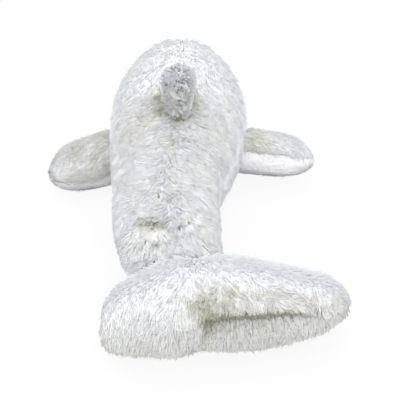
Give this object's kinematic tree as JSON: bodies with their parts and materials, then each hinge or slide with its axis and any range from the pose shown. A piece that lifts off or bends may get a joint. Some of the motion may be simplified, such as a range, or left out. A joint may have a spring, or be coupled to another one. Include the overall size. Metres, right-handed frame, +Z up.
{
  "type": "plush dolphin",
  "caption": "Soft stuffed dolphin in shaggy white long-pile cloth, lying on its belly with its flukes swung to one side",
  "frame": {"origin": "middle of the pressed flat under the belly, on the surface that the toy lies on", "axes": "+Y runs from the flukes to the beak, +Z is up from the surface, +X is the dolphin's right side"},
  "size_m": [0.294, 0.467, 0.1667],
  "materials": {
    "long_pile": "white long-pile faux fur, grey-green at the roots",
    "short_pile": "smooth short-pile plush, slightly pink white",
    "eye_gloss": "polished black"
  },
  "bodies": {
    "root": {"body": "long_pile", "belly_panel": "short_pile", "dorsal_fin": "long_pile", "fluke_upper": "long_pile", "fluke_lower": "long_pile", "flipper_left_upper": "long_pile", "flipper_left_under": "short_pile", "flipper_right_upper": "long_pile", "flipper_right_under": "short_pile", "eye_left": "eye_gloss", "eye_right": "eye_gloss"}
  },
  "joints": []
}
